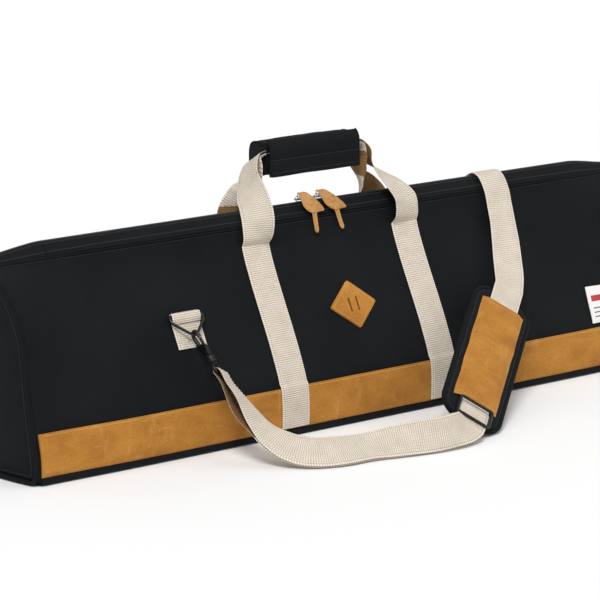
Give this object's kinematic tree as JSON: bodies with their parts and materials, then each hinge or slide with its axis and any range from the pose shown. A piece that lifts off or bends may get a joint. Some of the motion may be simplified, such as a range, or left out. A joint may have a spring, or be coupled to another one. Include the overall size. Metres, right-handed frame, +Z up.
{
  "type": "drum stick bag",
  "caption": "Long fabric bag with a zipped crest, two webbing handles joined by a wrap grip, suede base bands and a padded shoulder strap on snap hooks.",
  "frame": {"origin": "centre of the base's flat underside, on the ground", "axes": "+X along the bag, to the right as seen from the front; +Y from the front panel to the back panel; +Z up"},
  "size_m": [0.9458, 0.3562, 0.3241],
  "materials": {
    "black_fabric": "woven polyester, matt",
    "tan_suede": "waxed suede, matt with worn streaks",
    "beige_webbing": "ribbed cotton webbing",
    "black_plastic": "satin moulded",
    "black_metal": "black enamel wire",
    "zip_metal": "polished zip slider",
    "black_foam": "foam pad in woven cover",
    "white_label": "woven satin label",
    "grey_board": "stiff board"
  },
  "bodies": {
    "bag": {"base_panel": "black_fabric", "base_board": "grey_board", "front_panel": "black_fabric", "back_panel": "black_fabric", "front_suede_band": "tan_suede", "back_suede_band": "tan_suede", "front_bottom_piping": "black_fabric", "back_bottom_piping": "black_fabric", "left_end_panel": "black_fabric", "right_end_panel": "black_fabric", "left_end_piping": "black_fabric", "right_end_piping": "black_fabric", "left_top_tab": "black_fabric", "right_top_tab": "black_fabric", "front_zip_flap": "black_fabric", "front_zip_coil": "black_plastic", "front_left_handle_run": "beige_webbing", "front_right_handle_run": "beige_webbing", "back_left_handle_run": "beige_webbing", "back_right_handle_run": "beige_webbing", "front_ring_tab": "beige_webbing", "back_ring_tab": "beige_webbing", "front_hook_eye": "black_plastic", "back_hook_eye": "black_plastic", "shoulder_strap": "beige_webbing", "lash_patch": "tan_suede", "side_label": "white_label"},
    "back_flap": {"back_zip_flap": "black_fabric", "back_zip_coil": "black_plastic"},
    "slider_left": {"zip_slider_left": "zip_metal"},
    "pull_left": {"pull_link_left": "zip_metal", "pull_leather_left": "tan_suede"},
    "slider_right": {"zip_slider_right": "zip_metal"},
    "pull_right": {"pull_link_right": "zip_metal", "pull_leather_right": "tan_suede"},
    "handle": {"front_handle_loop": "beige_webbing", "back_handle_loop": "beige_webbing", "handle_grip": "black_fabric", "grip_loop_tape": "black_plastic"},
    "grip_cover": {"grip_flap": "black_fabric", "grip_hook_tape": "black_plastic"},
    "ring_front": {"front_ring": "black_metal"},
    "ring_back": {"back_ring": "black_metal"},
    "hook_front": {"front_hook_body": "black_plastic"},
    "gate_front": {"front_hook_gate": "black_plastic"},
    "hook_back": {"back_hook_body": "black_plastic"},
    "gate_back": {"back_hook_gate": "black_plastic"},
    "adjuster": {"strap_adjuster": "black_metal"},
    "pad": {"shoulder_pad": "black_foam", "pad_cover": "tan_suede"}
  },
  "joints": [
    {"name": "back_flap_open", "type": "hinge", "parent": "bag", "child": "back_flap", "pos_m": [0, 0.015, 0.2324], "axis": [1, 0, 0], "range_deg": [-75, 0]},
    {"name": "slider_left_run", "type": "slide", "parent": "bag", "child": "slider_left", "axis": [1, 0, 0], "range_m": [-0.278, 0]},
    {"name": "slider_right_run", "type": "slide", "parent": "bag", "child": "slider_right", "axis": [1, 0, 0], "range_m": [0, 0.193]},
    {"name": "pull_left_swing", "type": "hinge", "parent": "slider_left", "child": "pull_left", "pos_m": [-0.032, 0, 0.254], "axis": [1, 0, 0], "range_deg": [-75, 0]},
    {"name": "pull_right_swing", "type": "hinge", "parent": "slider_right", "child": "pull_right", "pos_m": [-0.005, 0, 0.254], "axis": [1, 0, 0], "range_deg": [-75, 0]},
    {"name": "handle_swing", "type": "hinge", "parent": "bag", "child": "handle", "pos_m": [0, 0, 0.212], "axis": [1, 0, 0], "range_deg": [-20, 20], "deforming": ["front_handle_loop", "back_handle_loop"]},
    {"name": "grip_cover_open", "type": "hinge", "parent": "handle", "child": "grip_cover", "pos_m": [0, 0.00525, 0.32319], "axis": [1, 0, 0], "range_deg": [-110, 0]},
    {"name": "ring_front_swing", "type": "hinge", "parent": "bag", "child": "ring_front", "pos_m": [-0.23, -0.0528, 0.15171], "axis": [1, 0, 0], "range_deg": [0, 1.2]},
    {"name": "ring_back_swing", "type": "hinge", "parent": "bag", "child": "ring_back", "pos_m": [0.251, 0.0528, 0.15171], "axis": [1, 0, 0], "range_deg": [0, 1.2]},
    {"name": "hook_front_swivel", "type": "hinge", "parent": "bag", "child": "hook_front", "pos_m": [-0.22093, -0.10932, 0.09444], "axis": [-0.1704, 0.6816, 0.7116], "range_deg": [-10, 10]},
    {"name": "hook_back_swivel", "type": "hinge", "parent": "bag", "child": "hook_back", "pos_m": [0.251, 0.02651, 0.22803], "axis": [0, 0.36, -0.933], "range_deg": [-10, 10]},
    {"name": "gate_front_open", "type": "hinge", "parent": "hook_front", "child": "gate_front", "pos_m": [-0.22646, -0.09078, 0.11751], "axis": [-0.9725, 0, -0.2329], "range_deg": [0, 22], "stiffness_Nm_per_rad": 0.02},
    {"name": "gate_back_open", "type": "hinge", "parent": "hook_back", "child": "gate_back", "pos_m": [0.251, 0.03974, 0.20097], "axis": [-1, 0, 0], "range_deg": [0, 22], "stiffness_Nm_per_rad": 0.02},
    {"name": "adjuster_slide", "type": "slide", "parent": "bag", "child": "adjuster", "axis": [-0.7065, -0.5535, -0.4409], "range_m": [-0.003, 0.0015]},
    {"name": "pad_slide", "type": "slide", "parent": "bag", "child": "pad", "axis": [0.7065, 0.5535, 0.4409], "range_m": [0, 0.012]}
  ]
}
